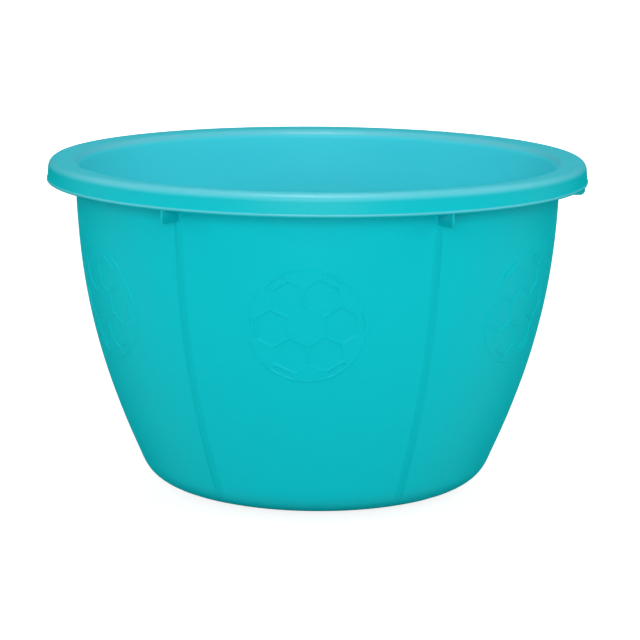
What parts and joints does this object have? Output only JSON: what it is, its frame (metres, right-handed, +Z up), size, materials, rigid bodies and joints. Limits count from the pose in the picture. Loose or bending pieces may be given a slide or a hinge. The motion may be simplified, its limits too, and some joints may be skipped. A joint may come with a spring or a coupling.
{
  "type": "plastic basin",
  "caption": "Round household wash basin moulded in one piece, with a curved wall, a rolled rim with lugs under it, low ribs and footballs in relief.",
  "frame": {"origin": "centre of the face that the basin stands on", "axes": "+Z up along the basin's axis of revolution; -Y is the front, where one football faces square on; lugs and ribs lie at 30, 90 and 150 degrees to each side of it"},
  "size_m": [0.34, 0.34, 0.2093],
  "materials": {
    "basin_plastic": "satin turquoise polypropylene, slightly translucent"
  },
  "bodies": {
    "root": {"basin": "basin_plastic"}
  },
  "joints": []
}
